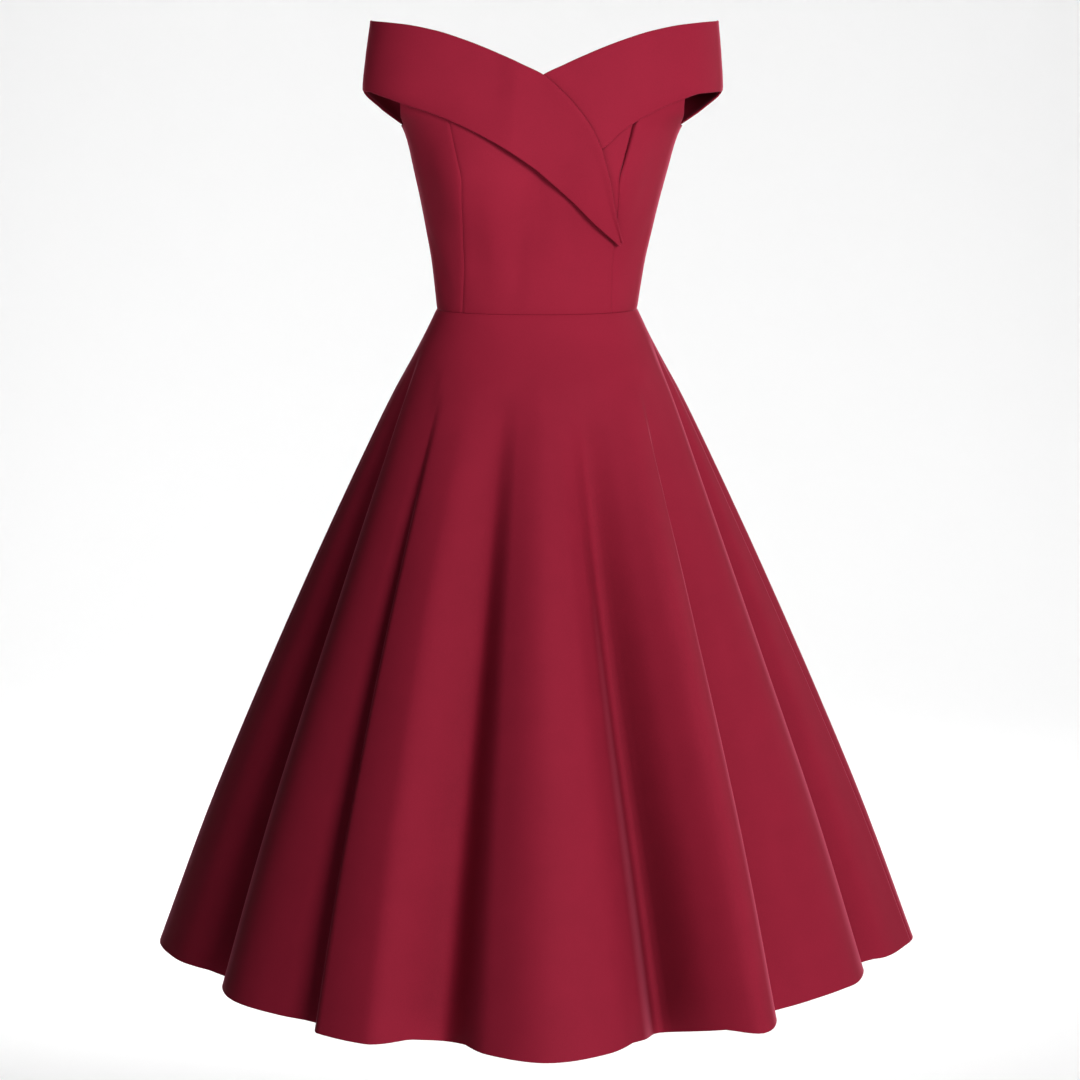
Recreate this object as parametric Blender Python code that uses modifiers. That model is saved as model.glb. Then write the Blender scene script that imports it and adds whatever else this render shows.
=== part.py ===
"""Off-shoulder dress: crossed collar band, seamed bodice and flared skirt, with a back zip.

The dress is filled out and hollow. The origin is the centre of the waist, +Z is up,
the front faces -Y and the wearer's left is +X. A place on the dress is an angle round
the body (0 at the front centre, +90 at the wearer's left side, 180 at the back centre)
and a height above the waist seam. All sizes are in metres.
"""
import math

import bmesh
import bpy
from mathutils import Vector

WALL = 0.0015
COLLAR_WALL = 0.0024
SEAM_GAP = 0.0003
LAYER_GAP = 0.0004
LAYER_GAP_SPREAD = 0.0006
HEM_HEIGHT = -0.785
UNDERARM_HEIGHT = 0.2170
BODICE_TOP_INSET = 0.0030
DEGREE_LENGTH = 0.0025
ANGLE_STEP = 0.5
HEIGHT_STEP = 0.001
LEAN = 0.026

ZIP_TOP = 0.2560
ZIP_BOTTOM = -0.1800
ZIP_HALF_SLIT = 0.0006
ZIP_TAPE_WIDTH = 0.0240
ZIP_TAPE_WALL = 0.0010
ZIP_TAPE_GAP = 0.0006
ZIP_WAIST_EASE = 0.0010
ZIP_ROWS = 12
ZIP_HALF_COLUMNS = 2
ZIP_ROW_CLEARANCE = 0.0100
SLIDER_HEIGHT = 0.2430
SLIDER_THICKNESS = 0.0020
SLIDER_KEEL_WALL = 0.0006
SLIDER_KEEL_HEIGHT = 0.0070
SLIDER_HALF_OUTLINE = (
    (0.0022, -0.0055),
    (0.0030, -0.0048),
    (0.0036, 0.0030),
    (0.0030, 0.0055),
)
BRIDGE_HALF_LENGTH = 0.0036
BRIDGE_RISE = 0.0031
BRIDGE_WALL = 0.0009
BRIDGE_WIDTH = 0.0016
PULL_WALL = 0.0010
PULL_AXIS_OUT = 0.0010
PULL_HALF_OUTLINE = (
    (0.0010, -0.0220),
    (0.0024, -0.0208),
    (0.0030, -0.0185),
    (0.0027, -0.0130),
    (0.0019, -0.0060),
    (0.0019, 0.0000),
    (0.0015, 0.0005),
)
PULL_WINDOW_HALF_OUTLINE = (
    (0.0011, -0.0044),
    (0.0011, -0.0005),
)

BODY_COLUMNS = ("height", "half_width", "front_depth", "back_depth", "roundness")
BODICE_SECTIONS = (
    (0.0000, 0.1200, 0.0900, 0.0860, 2.30),
    (0.0575, 0.1277, 0.0940, 0.0880, 2.30),
    (0.0930, 0.1347, 0.0990, 0.0910, 2.30),
    (0.1290, 0.1423, 0.1050, 0.0940, 2.30),
    (0.1650, 0.1510, 0.1100, 0.0980, 2.30),
    (0.2000, 0.1598, 0.1120, 0.1010, 2.30),
    (0.2170, 0.1668, 0.1120, 0.1020, 2.30),
    (0.2405, 0.1925, 0.1110, 0.1030, 2.30),
    (0.2617, 0.2105, 0.1090, 0.1040, 2.30),
    (0.2970, 0.2080, 0.1060, 0.1030, 2.30),
    (0.3390, 0.2035, 0.1020, 0.1010, 2.30),
)
SKIRT_SECTIONS = (
    (-0.7850, 0.4690, 0.4800, 0.4730, 2.00),
    (-0.6190, 0.4068, 0.4030, 0.4040, 2.00),
    (-0.5060, 0.3600, 0.3470, 0.3530, 2.00),
    (-0.3190, 0.2775, 0.2540, 0.2660, 2.02),
    (-0.1720, 0.2085, 0.1780, 0.1930, 2.08),
    (-0.0990, 0.1723, 0.1400, 0.1500, 2.14),
    (-0.0630, 0.1522, 0.1210, 0.1260, 2.20),
    (-0.0265, 0.1328, 0.1020, 0.1020, 2.26),
    (0.0000, 0.1200, 0.0900, 0.0860, 2.30),
)
BUST_RISE = 0.016
BUST_ANGLE = 38.0
BUST_ANGLE_SPREAD = 21.0
BUST_HEIGHT = 0.150
BUST_HEIGHT_SPREAD = 0.060

# One row for each ridge, slope and valley that runs down the skirt.
FOLD_COLUMNS = ("hem_angle", "waist_angle", "hem_share", "start")
FOLDS = (
    (-180.0, -178.0, 0.975, 0.10),
    (-163.0, -163.0, 0.850, 0.12),
    (-148.0, -146.0, 0.960, 0.08),
    (-131.0, -132.0, 0.860, 0.12),
    (-118.0, -119.0, 0.965, 0.08),
    (-105.0, -107.0, 0.870, 0.14),
    (-92.0, -95.0, 0.998, 0.00),
    (-80.0, -86.0, 0.950, 0.05),
    (-70.5, -80.0, 0.858, 0.06),
    (-66.5, -77.0, 0.800, 0.06),
    (-62.8, -72.0, 0.888, 0.06),
    (-54.5, -63.0, 0.916, 0.06),
    (-44.5, -54.0, 0.896, 0.08),
    (-37.0, -50.0, 0.838, 0.10),
    (-33.8, -45.5, 0.940, 0.10),
    (-25.0, -35.0, 0.952, 0.10),
    (-15.5, -17.0, 0.822, 0.10),
    (-7.0, -8.0, 0.945, 0.08),
    (1.5, 1.0, 1.000, 0.00),
    (10.0, 8.0, 0.948, 0.08),
    (17.0, 14.0, 0.842, 0.10),
    (25.0, 22.0, 0.700, 0.10),
    (30.0, 34.0, 0.856, 0.10),
    (34.5, 42.0, 0.950, 0.08),
    (40.3, 51.0, 0.892, 0.10),
    (44.0, 55.0, 0.782, 0.10),
    (54.0, 64.0, 0.832, 0.08),
    (65.0, 73.0, 0.890, 0.06),
    (72.5, 79.0, 0.876, 0.04),
    (76.0, 83.0, 0.832, 0.04),
    (80.5, 87.0, 0.915, 0.04),
    (86.0, 91.0, 0.958, 0.02),
    (93.0, 96.0, 0.998, 0.00),
    (107.0, 108.0, 0.870, 0.14),
    (121.0, 121.0, 0.960, 0.08),
    (134.0, 134.0, 0.862, 0.12),
    (149.0, 148.0, 0.965, 0.08),
    (165.0, 165.0, 0.850, 0.12),
    (180.0, 182.0, 0.975, 0.10),
)
FOLD_GROWTH = 5.0
HEM_DROP = 0.120
HEM_DROP_START = 0.120
HEM_DROP_GROWTH = 4.0
FOLD_DRIFT_START = 0.25
FOLD_DRIFT_END = 0.75

# Curves on the dress as (angle, height) rows, written for the wearer's left side.
POINT_COLUMNS = ("angle", "height")
PRINCESS_SEAM = (
    (53.0, 0.0000),
    (50.0, 0.0450),
    (47.5, 0.0820),
    (43.0, 0.1200),
    (40.5, 0.1580),
    (43.5, 0.1850),
    (47.5, 0.2150),
    (49.5, 0.2500),
    (50.0, 0.3230),
)
SIDE_SEAM = ((90.0, 0.0000), (90.0, UNDERARM_HEIGHT))
FRONT_ARMHOLE = (
    (90.0, UNDERARM_HEIGHT),
    (80.0, 0.2175),
    (73.0, 0.2290),
    (68.5, 0.2410),
    (66.0, 0.2560),
    (64.0, 0.2900),
    (63.0, 0.3310),
)
BACK_ARMHOLE = (
    (90.0, UNDERARM_HEIGHT),
    (99.0, 0.2180),
    (107.0, 0.2260),
    (111.0, 0.2450),
    (113.0, 0.2800),
    (114.0, 0.3270),
)
BACK_CENTRE = ((180.0, 0.0000), (180.0, 0.2590))
FRONT_NECKLINE = (
    (0.0, 0.2785),
    (13.0, 0.2905),
    (30.0, 0.3060),
    (44.0, 0.3190),
    (56.0, 0.3295),
    (67.0, 0.3360),
    (79.0, 0.3390),
    (90.0, 0.3400),
)
BACK_NECKLINE = (
    (90.0, 0.3400),
    (102.0, 0.3375),
    (114.0, 0.3300),
    (130.0, 0.3120),
    (150.0, 0.2840),
    (168.0, 0.2660),
    (180.0, 0.2620),
)
BACK_COLLAR_LOWER_EDGE = (
    (90.0, 0.2605),
    (94.0, 0.2430),
    (99.0, 0.2245),
    (108.0, 0.2115),
    (125.0, 0.2035),
    (150.0, 0.1960),
    (180.0, 0.1900),
)
OVER_COLLAR_LOWER_EDGE = (
    (90.0, 0.2605),
    (79.8, 0.2600),
    (72.4, 0.2550),
    (63.0, 0.2450),
    (52.8, 0.2345),
    (34.0, 0.2131),
    (21.5, 0.1973),
    (11.0, 0.1835),
    (-3.2, 0.1638),
    (-17.5, 0.1395),
    (-31.9, 0.1100),
    (-48.5, 0.0830),
)
OVER_COLLAR_FREE_EDGE = (
    (0.0, 0.2785),
    (-10.4, 0.2613),
    (-18.9, 0.2430),
    (-26.6, 0.2190),
    (-30.9, 0.1938),
    (-33.7, 0.1651),
    (-38.2, 0.1299),
    (-48.8, 0.0870),
)
UNDER_COLLAR_LOWER_EDGE = (
    (90.0, 0.2605),
    (79.8, 0.2600),
    (71.0, 0.2585),
    (64.0, 0.2510),
    (50.0, 0.2300),
    (41.0, 0.2141),
    (30.9, 0.1945),
    (15.0, 0.1830),
    (0.0, 0.1950),
    (-12.0, 0.2150),
)
UNDER_COLLAR_FREE_EDGE = (
    (0.0, 0.2785),
    (-6.0, 0.2680),
    (-12.0, 0.2500),
)
CROSSING_START = 28.0
CROSSING_RAMP = 13.0
COLLAR_LIFT = 0.0035
COLLAR_LIFT_ANGLE = 18.0
COLLAR_LIFT_SPREAD = 26.0
COLLAR_LIFT_CURVE = 1.5

BODICE_ROWS = 20
SIDE_SEAM_ROWS = 12
FRONT_CENTRE_COLUMNS = 22
SIDE_FRONT_COLUMNS = 8
BACK_COLUMNS = 18
COLLAR_ROWS = 9
COLLAR_BACK_COLUMNS = 22
COLLAR_FRONT_COLUMNS = 36
SKIRT_ROWS = 12
SKIRT_ROW_CROWDING = 1.35
FOLD_COLUMN_STEP = 3.6
SEAM_COLUMN = 1.0
SEAM_CLEARANCE = 2.5

CREPE_COLOUR = (0.285, 0.018, 0.037, 1.0)
CREPE_ROUGHNESS = 0.62
TAPE_COLOUR = (0.210, 0.014, 0.028, 1.0)
TAPE_ROUGHNESS = 0.75
ENAMEL_COLOUR = (0.240, 0.015, 0.030, 1.0)
ENAMEL_ROUGHNESS = 0.35
ENAMEL_METALLIC = 0.3


def smooth_step(value):
    value = min(max(value, 0.0), 1.0)
    return value * value * (3.0 - 2.0 * value)


def row_slope(rows, index, column):
    """Slope of one column at a row, level where the column turns back."""
    low = max(index - 1, 0)
    high = min(index + 1, len(rows) - 1)
    before = after = None
    if low < index:
        before = (rows[index][column] - rows[low][column]) / (rows[index][0] - rows[low][0])
    if index < high:
        after = (rows[high][column] - rows[index][column]) / (rows[high][0] - rows[index][0])
    if before is None:
        return after
    if after is None:
        return before
    if before * after <= 0.0:
        return 0.0
    return 2.0 * before * after / (before + after)


def along_rows(rows, position, column):
    """Smooth value of one column at a position in the rows' rising first column."""
    position = min(max(position, rows[0][0]), rows[-1][0])
    index = 0
    while index < len(rows) - 2 and rows[index + 1][0] < position:
        index += 1
    span = rows[index + 1][0] - rows[index][0]
    t = (position - rows[index][0]) / span
    start_slope = row_slope(rows, index, column) * span
    end_slope = row_slope(rows, index + 1, column) * span
    return (
        (2 * t ** 3 - 3 * t ** 2 + 1) * rows[index][column]
        + (t ** 3 - 2 * t ** 2 + t) * start_slope
        + (3 * t ** 2 - 2 * t ** 3) * rows[index + 1][column]
        + (t ** 3 - t ** 2) * end_slope
    )


def body_radius(sections, angle, height):
    """Radius of the rounded section through the dress, without bust or folds."""
    half_width, front, back, roundness = (along_rows(sections, height, k) for k in range(1, 5))
    depth = front if abs(angle) <= 90.0 else back
    across = abs(math.sin(math.radians(angle))) / half_width
    along = abs(math.cos(math.radians(angle))) / depth
    return (across ** roundness + along ** roundness) ** (-1.0 / roundness)


def bust_rise(angle, height):
    sideways = (abs(angle) - BUST_ANGLE) / BUST_ANGLE_SPREAD
    upwards = (height - BUST_HEIGHT) / BUST_HEIGHT_SPREAD
    return BUST_RISE * math.exp(-sideways ** 2 - upwards ** 2)


def place(angle, radius, height):
    """World point at an angle and radius, on the line the dress leans along."""
    turn = math.radians(angle)
    lean = LEAN * max(height, 0.0)
    return Vector((radius * math.sin(turn) + lean, -radius * math.cos(turn), height))


def bodice_surface(angle, height):
    radius = body_radius(BODICE_SECTIONS, angle, height) + bust_rise(angle, height)
    return place(angle, radius, height)


def moved_out(surface, angle, height, out):
    """Point of a surface moved square to it, out of the dress or, below zero, into it."""
    around = surface(angle + ANGLE_STEP, height) - surface(angle - ANGLE_STEP, height)
    up = surface(angle, height + HEIGHT_STEP) - surface(angle, height - HEIGHT_STEP)
    return surface(angle, height) + around.cross(up).normalized() * out


def fold_share(row, height):
    """Share of the full skirt radius that one ridge, slope or valley keeps at a height."""
    start = row[3]
    down = height / HEM_HEIGHT
    left_over = 1.0 - max(down - start, 0.0) / (1.0 - start)
    return 1.0 - (1.0 - row[2]) * (1.0 - left_over ** FOLD_GROWTH)


def fold_angle(row, height):
    """Angle of a fold at a height, drifting from its waist angle to its hem angle."""
    first = smooth_step(FOLD_DRIFT_START)
    last = smooth_step(FOLD_DRIFT_END)
    here = smooth_step(FOLD_DRIFT_START + (FOLD_DRIFT_END - FOLD_DRIFT_START) * height / HEM_HEIGHT)
    return row[1] + (row[0] - row[1]) * (here - first) / (last - first)


def skirt_rows_at(height):
    return [(fold_angle(row, height), fold_share(row, height)) for row in FOLDS]


def skirt_surface(angle, height):
    wrapped = (angle + 180.0) % 360.0 - 180.0 if abs(angle) > 180.0 else angle
    rows = skirt_rows_at(height)
    around = [(rows[-2][0] - 360.0, rows[-2][1])] + rows + [(rows[1][0] + 360.0, rows[1][1])]
    share = along_rows(around, wrapped, 1)
    point = place(wrapped, body_radius(SKIRT_SECTIONS, wrapped, height) * share, height)
    sunk = max(1.0 - share - HEM_DROP_START, 0.0) * (height / HEM_HEIGHT) ** HEM_DROP_GROWTH
    return point - Vector((0.0, 0.0, HEM_DROP * sunk))


class Curve:
    """A smooth curve through (angle, height) rows, run from 0 to 1 by its length."""

    def __init__(self, points):
        lengths = [0.0]
        for before, after in zip(points, points[1:]):
            step = math.hypot((after[0] - before[0]) * DEGREE_LENGTH, after[1] - before[1])
            lengths.append(lengths[-1] + step)
        self.rows = [(length / lengths[-1],) + tuple(point) for length, point in zip(lengths, points)]

    def at(self, t):
        return along_rows(self.rows, t, 1), along_rows(self.rows, t, 2)


def mirrored(points, side):
    return tuple((angle * side, height) for angle, height in points)


def lowered(points, drop):
    return tuple((angle, height - drop) for angle, height in points)


def part_of(points, start_angle, end_angle):
    """The rows of a curve between two angles, with its ends worked out."""
    rows = sorted(points)
    def height(angle):
        return along_rows(rows, angle, 1)
    inner = [row for row in rows if start_angle < row[0] < end_angle]
    return [(start_angle, height(start_angle))] + inner + [(end_angle, height(end_angle))]


def coons_grid(bottom, top, left, right, columns, rows):
    """Grid of (angle, height) places inside four curves; left and right take a row number."""
    grid = []
    corners = left(0), right(0), left(rows), right(rows)
    for j in range(rows + 1):
        v = j / rows
        line = []
        for i in range(columns + 1):
            u = i / columns
            place_here = []
            for k in range(2):
                edges = (1 - v) * bottom(u)[k] + v * top(u)[k] + (1 - u) * left(j)[k] + u * right(j)[k]
                bilinear = (
                    (1 - u) * (1 - v) * corners[0][k] + u * (1 - v) * corners[1][k]
                    + (1 - u) * v * corners[2][k] + u * v * corners[3][k]
                )
                place_here.append(edges - bilinear)
            line.append(tuple(place_here))
        grid.append(line)
    return grid


def new_material(name, colour, roughness, metallic=0.0):
    material = bpy.data.materials.new(name)
    material.use_nodes = True
    shader = material.node_tree.nodes["Principled BSDF"]
    shader.inputs["Base Color"].default_value = colour
    shader.inputs["Roughness"].default_value = roughness
    shader.inputs["Metallic"].default_value = metallic
    return material


def link_object(name, mesh, collection, material):
    part = bpy.data.objects.new(name, mesh)
    collection.objects.link(part)
    mesh.materials.append(material)
    return part


def cloth_panel(name, points, wall, collection, material):
    """Cloth through a grid of outer points, one row above another, with the wall inside."""
    columns = len(points[0])
    vertices = [point for line in points for point in line]
    faces = []
    for j in range(len(points) - 1):
        for i in range(columns - 1):
            a = j * columns + i
            b, c, d = a + 1, a + columns + 1, a + columns
            if (vertices[a] - vertices[c]).length <= (vertices[b] - vertices[d]).length:
                faces += [(a, b, c), (a, c, d)]
            else:
                faces += [(a, b, d), (b, c, d)]
    mesh = bpy.data.meshes.new(name)
    mesh.from_pydata(vertices, [], faces)
    mesh.update()
    part = link_object(name, mesh, collection, material)
    solid = part.modifiers.new("wall", "SOLIDIFY")
    solid.thickness = wall
    solid.offset = -1.0
    solid.use_even_offset = True
    return part


def seam_shift(angle, radius, gap_half, towards):
    """Angle moved off a seam by half its gap."""
    return angle + towards * math.degrees(gap_half / radius)


def waist_curve(left_angle, right_angle):
    return lambda u: (left_angle + (right_angle - left_angle) * u, SEAM_GAP / 2)


def row_of(curve, rows):
    return lambda j: curve.at(j / rows)


def joined_rows(lower, upper, lower_rows, rows):
    """Edge made of two curves that meet at a row."""
    def edge(j):
        if j <= lower_rows:
            return lower.at(j / lower_rows)
        return upper.at((j - lower_rows) / (rows - lower_rows))
    return edge


def open_seams(grid, first_gap, last_gap):
    """Grid with its two outer columns moved off their seams by half a gap each."""
    opened = []
    for line in grid:
        first_angle, first_height = line[0]
        last_angle, last_height = line[-1]
        first_radius = body_radius(BODICE_SECTIONS, first_angle, first_height)
        last_radius = body_radius(BODICE_SECTIONS, last_angle, last_height)
        first = (seam_shift(first_angle, first_radius, first_gap, 1), first_height)
        last = (seam_shift(last_angle, last_radius, last_gap, -1), last_height)
        opened.append([first] + line[1:-1] + [last])
    return opened


def princess_seam():
    """Princess seam from the waist gap to the bodice's top edge."""
    neckline = lowered(FRONT_NECKLINE, BODICE_TOP_INSET)
    top = (PRINCESS_SEAM[-1][0], along_rows(neckline, PRINCESS_SEAM[-1][0], 1))
    return ((PRINCESS_SEAM[0][0], SEAM_GAP / 2),) + PRINCESS_SEAM[1:-1] + (top,)


def side_edge(armhole, top_end):
    """Side seam from the waist to the underarm, then the armhole up to the top edge."""
    side = Curve(((SIDE_SEAM[0][0], SEAM_GAP / 2), SIDE_SEAM[1]))
    return joined_rows(side, Curve(armhole[:-1] + (top_end,)), SIDE_SEAM_ROWS, BODICE_ROWS)


def bodice_front_centre():
    neckline = lowered(FRONT_NECKLINE, BODICE_TOP_INSET)
    half = part_of(neckline, 0.0, PRINCESS_SEAM[-1][0])
    top = Curve([(-angle, height) for angle, height in reversed(half)] + half[1:])
    seam = princess_seam()
    waist = waist_curve(-PRINCESS_SEAM[0][0], PRINCESS_SEAM[0][0])
    left = row_of(Curve(mirrored(seam, -1)), BODICE_ROWS)
    right = row_of(Curve(seam), BODICE_ROWS)
    grid = coons_grid(waist, top.at, left, right, FRONT_CENTRE_COLUMNS, BODICE_ROWS)
    return open_seams(grid, SEAM_GAP / 2, SEAM_GAP / 2)


def bodice_side_front():
    neckline = lowered(FRONT_NECKLINE, BODICE_TOP_INSET)
    top = Curve(part_of(neckline, PRINCESS_SEAM[-1][0], FRONT_ARMHOLE[-1][0]))
    waist = waist_curve(PRINCESS_SEAM[0][0], SIDE_SEAM[0][0])
    left = row_of(Curve(princess_seam()), BODICE_ROWS)
    right = side_edge(FRONT_ARMHOLE, top.at(1.0))
    grid = coons_grid(waist, top.at, left, right, SIDE_FRONT_COLUMNS, BODICE_ROWS)
    return open_seams(grid, SEAM_GAP / 2, SEAM_GAP / 2)


def bodice_back():
    neckline = lowered(BACK_NECKLINE, BODICE_TOP_INSET)
    top = Curve(part_of(neckline, BACK_ARMHOLE[-1][0], BACK_CENTRE[-1][0]))
    waist = waist_curve(SIDE_SEAM[0][0], BACK_CENTRE[0][0])
    left = side_edge(BACK_ARMHOLE, top.at(0.0))
    right = row_of(Curve(((BACK_CENTRE[0][0], SEAM_GAP / 2), top.at(1.0))), BODICE_ROWS)
    grid = coons_grid(waist, top.at, left, right, BACK_COLUMNS, BODICE_ROWS)
    return open_seams(grid, SEAM_GAP / 2, ZIP_HALF_SLIT)


def bodice_points(grid, side):
    """Outer points of a bodice panel; side -1 mirrors it to the wearer's right."""
    lines = []
    for line in grid:
        points = [bodice_surface(angle * side, height) for angle, height in line]
        lines.append(points if side > 0 else points[::-1])
    return lines


def skirt_heights():
    """Row heights from the hem up to the waist seam, closer together at the waist."""
    top = -SEAM_GAP / 2
    heights = []
    for j in range(SKIRT_ROWS + 1):
        down = (1.0 - j / SKIRT_ROWS) ** SKIRT_ROW_CROWDING
        heights.append(top + (HEM_HEIGHT - top) * down)
    return heights


def skirt_angles(first, last):
    """Column angles at the hem: on and between the fold rows, and close beside both seams."""
    angles = []
    for before, after in zip(FOLDS, FOLDS[1:]):
        count = max(1, round((after[0] - before[0]) / FOLD_COLUMN_STEP))
        angles += [before[0] + (after[0] - before[0]) * k / count for k in range(count)]
    inner = [angle for angle in angles if first + SEAM_CLEARANCE < angle < last - SEAM_CLEARANCE]
    return [first + SEAM_COLUMN] + inner + [last - SEAM_COLUMN]


def skirt_columns(height, first, last):
    """The hem's columns followed up the folds to a height, kept between the seams."""
    follow = [(row[0], fold_angle(row, height)) for row in FOLDS]
    low = along_rows(follow, first, 1)
    high = along_rows(follow, last, 1)
    followed = [along_rows(follow, angle, 1) for angle in skirt_angles(first, last)]
    return [first + (angle - low) / (high - low) * (last - first) for angle in followed]


def skirt_panel(first, last, first_gap, last_gap):
    """Outer points of a skirt panel between two seam angles, hem row first."""
    lines = []
    for height in skirt_heights():
        radius = body_radius(SKIRT_SECTIONS, first, height)
        start = seam_shift(first, radius, first_gap(height), 1)
        end = seam_shift(last, radius, last_gap(height), -1)
        angles = [start] + skirt_columns(height, first, last) + [end]
        lines.append([skirt_surface(angle, height) for angle in angles])
    return lines


def seam_half_gap(height):
    return SEAM_GAP / 2


def zip_half_gap(height):
    return ZIP_HALF_SLIT if height > ZIP_BOTTOM else SEAM_GAP / 2


def collar_lift(angle, share_down, most):
    """How far a collar's lower part stands off the bodice."""
    spread = math.exp(-((angle - COLLAR_LIFT_ANGLE) / COLLAR_LIFT_SPREAD) ** 2)
    return most * spread * share_down ** COLLAR_LIFT_CURVE


def collar_points(back_lower, back_top, front_lower, front_top, side, layer, lift):
    """Outer points of a collar from the back centre round to its front end."""
    lower = [Curve(back_lower), Curve(front_lower)]
    upper = [Curve(back_top), Curve(front_top)]
    places = []
    for k in range(COLLAR_BACK_COLUMNS):
        t = k / COLLAR_BACK_COLUMNS
        places.append((lower[0].at(t), upper[0].at(t)))
    for k in range(COLLAR_FRONT_COLUMNS + 1):
        t = k / COLLAR_FRONT_COLUMNS
        places.append((lower[1].at(t), upper[1].at(t)))
    lines = []
    for j in range(COLLAR_ROWS + 1):
        v = j / COLLAR_ROWS
        line = []
        for index, (low, high) in enumerate(places):
            angle = low[0] + (high[0] - low[0]) * v
            height = low[1] + (high[1] - low[1]) * v
            if index == 0:
                back_radius = body_radius(BODICE_SECTIONS, 180.0, height)
                angle = seam_shift(180.0, back_radius, ZIP_HALF_SLIT, -1)
            gap = LAYER_GAP + LAYER_GAP_SPREAD * (1.0 - v)
            out = gap + COLLAR_WALL + layer(angle) + collar_lift(angle, 1.0 - v, lift)
            line.append(moved_out(bodice_surface, angle * side, height, out))
        lines.append(line[::-1] if side > 0 else line)
    return lines


def over_layer(angle):
    """Extra height of the outer collar where it crosses the inner one."""
    full = COLLAR_WALL + LAYER_GAP + LAYER_GAP_SPREAD
    return full * smooth_step((CROSSING_START - angle) / CROSSING_RAMP)


def under_layer(angle):
    return 0.0


def reversed_rows(points):
    return tuple(reversed(points))


def over_collar():
    front_top = reversed_rows(FRONT_NECKLINE) + OVER_COLLAR_FREE_EDGE[1:]
    return collar_points(reversed_rows(BACK_COLLAR_LOWER_EDGE), reversed_rows(BACK_NECKLINE),
                         OVER_COLLAR_LOWER_EDGE, front_top, -1, over_layer, COLLAR_LIFT)


def under_collar():
    front_top = reversed_rows(FRONT_NECKLINE) + UNDER_COLLAR_FREE_EDGE[1:]
    return collar_points(reversed_rows(BACK_COLLAR_LOWER_EDGE), reversed_rows(BACK_NECKLINE),
                         UNDER_COLLAR_LOWER_EDGE, front_top, 1, under_layer, 0.0)


def zip_heights():
    """Tape rows from its lower end up, on the skirt's own rows below the waist."""
    lowest = ZIP_BOTTOM + ZIP_ROW_CLEARANCE
    below = [height for height in skirt_heights() if lowest < height < -ZIP_ROW_CLEARANCE]
    above = [ZIP_TOP * k / ZIP_ROWS for k in range(1, ZIP_ROWS + 1)]
    return [ZIP_BOTTOM] + below + [0.0] + above


def zip_tape_points():
    """Outer face of the closed tape, inside both back panels."""
    lines = []
    for height in zip_heights():
        surface = bodice_surface if height >= 0.0 else skirt_surface
        sections = BODICE_SECTIONS if height >= 0.0 else SKIRT_SECTIONS
        depth = WALL + ZIP_TAPE_GAP + (ZIP_WAIST_EASE if height == 0.0 else 0.0)
        half_turn = math.degrees(ZIP_TAPE_WIDTH / 2 / body_radius(sections, 180.0, height))
        turns = [half_turn * k / ZIP_HALF_COLUMNS for k in range(-ZIP_HALF_COLUMNS, ZIP_HALF_COLUMNS + 1)]
        lines.append([moved_out(surface, 180.0 + turn, height, -depth) for turn in turns])
    return lines


def prism(outline, across, depth, start):
    """Closed mesh of an outline in two axes, drawn out along the third axis."""
    axes = [axis for axis in range(3) if axis != across]
    mesh = bmesh.new()
    ring = []
    for point in outline:
        place_here = [0.0, 0.0, 0.0]
        place_here[across] = start
        place_here[axes[0]], place_here[axes[1]] = point
        ring.append(mesh.verts.new(place_here))
    face = mesh.faces.new(ring)
    grown = bmesh.ops.extrude_face_region(mesh, geom=[face])
    shift = Vector((0.0, 0.0, 0.0))
    shift[across] = depth
    moved = [item for item in grown["geom"] if isinstance(item, bmesh.types.BMVert)]
    bmesh.ops.translate(mesh, verts=moved, vec=shift)
    bmesh.ops.recalc_face_normals(mesh, faces=mesh.faces)
    made = bpy.data.meshes.new("prism")
    mesh.to_mesh(made)
    mesh.free()
    return made


def both_sides(half_outline):
    return list(half_outline) + [(-across, up) for across, up in reversed(half_outline)]


def arch_outline(half_length, rise, wall, steps=8):
    """Bridge over the slider: an arch with its opening, as one outline of (out, up) points."""
    outer = []
    inner = []
    for k in range(steps + 1):
        turn = math.pi * k / steps
        outer.append((rise * math.sin(turn), -half_length * math.cos(turn)))
        inner.append(((rise - wall) * math.sin(turn), -(half_length - wall) * math.cos(turn)))
    sunk = -SLIDER_THICKNESS / 2
    return ([(sunk, -half_length)] + outer + [(sunk, half_length)]
            + [(sunk, half_length - wall)] + inner[::-1] + [(sunk, -half_length + wall)])


def join_to(part, mesh, name, cutters, operation):
    """Boolean a mesh into a part."""
    tool = bpy.data.objects.new(name, mesh)
    cutters.objects.link(tool)
    tool.parent = part
    tool.hide_render = True
    tool.display_type = "WIRE"
    step = part.modifiers.new(name, "BOOLEAN")
    step.operation = operation
    step.solver = "EXACT"
    step.object = tool


def zip_slider(collection, cutters, material):
    """Slider lying on the collar ends, with a keel through the slit and a bridge for the pull."""
    body = prism(both_sides(SLIDER_HALF_OUTLINE), 1, SLIDER_THICKNESS, -SLIDER_THICKNESS)
    part = link_object("zip_slider", body, collection, material)
    part.location = slider_face()
    half_keel = SLIDER_KEEL_WALL / 2
    keel_end = -SLIDER_THICKNESS - keel_depth()
    keel = prism([(-half_keel, keel_end), (half_keel, keel_end),
                  (half_keel, -SLIDER_THICKNESS / 2), (-half_keel, -SLIDER_THICKNESS / 2)],
                 2, SLIDER_KEEL_HEIGHT, -SLIDER_KEEL_HEIGHT / 2)
    join_to(part, keel, "slider_keel", cutters, "UNION")
    arch = arch_outline(BRIDGE_HALF_LENGTH, BRIDGE_RISE, BRIDGE_WALL)
    bridge = prism(arch, 0, BRIDGE_WIDTH, -BRIDGE_WIDTH / 2)
    join_to(part, bridge, "slider_bridge", cutters, "UNION")
    return part


def collar_out(height):
    """Outer face of the collars at the back centre."""
    gap = LAYER_GAP + LAYER_GAP_SPREAD
    return moved_out(bodice_surface, 180.0, height, gap + COLLAR_WALL)


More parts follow.
